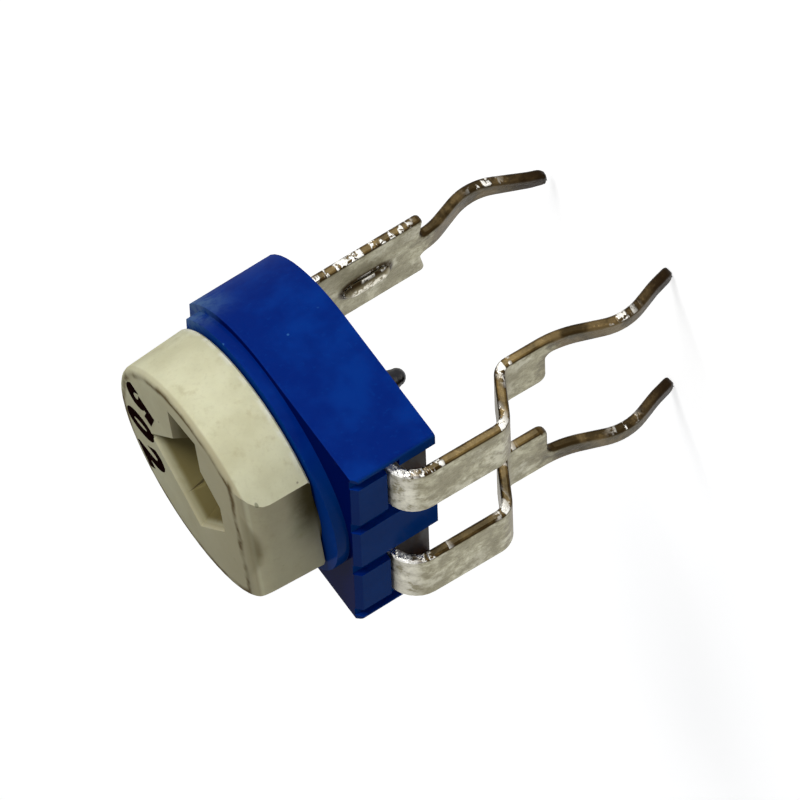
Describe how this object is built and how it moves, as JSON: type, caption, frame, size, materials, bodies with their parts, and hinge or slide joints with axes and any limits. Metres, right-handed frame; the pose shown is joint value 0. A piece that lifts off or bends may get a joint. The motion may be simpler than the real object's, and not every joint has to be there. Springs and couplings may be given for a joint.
{
  "type": "trimmer potentiometer",
  "caption": "Single-turn trimmer potentiometer with a moulded D-shaped housing, a slotted rotor with a flat, and bowed through-hole leads.",
  "frame": {"origin": "on the rotor's axis, in the plane of the board that the lead shoulders rest on", "axes": "+Z along the rotor's axis, rotor up and leads down; the two end terminals are at -Y and the wiper terminal at +Y; +X runs across the flat front"},
  "size_m": [0.0066, 0.0067, 0.0103],
  "materials": {
    "blue_plastic": "smooth moulded plastic with a soft gloss",
    "ivory_plastic": "satin moulded plastic, a little yellowed",
    "phenolic": "laminated board, satin",
    "carbon": "printed carbon film",
    "silver_film": "printed silver film",
    "tinned_sheet": "tin plated sheet with a mottled, satin face",
    "brass": "bright"
  },
  "bodies": {
    "base": {"housing": "blue_plastic", "element_plate": "phenolic", "carbon_track": "carbon", "end_pad_right": "silver_film", "end_pad_left": "silver_film", "end_terminal_right": "tinned_sheet", "end_terminal_left": "tinned_sheet", "end_rivet_right": "brass", "end_rivet_left": "brass", "wiper_terminal": "tinned_sheet", "centre_eyelet": "brass"},
    "rotor": {"rotor": "ivory_plastic", "spring_contact": "brass", "centre_axle": "brass"}
  },
  "joints": [
    {"name": "rotor_turn", "type": "hinge", "parent": "base", "child": "rotor", "pos_m": [0, 0, 0.006], "axis": [0, 0, 1], "range_deg": [-109, 91]}
  ]
}
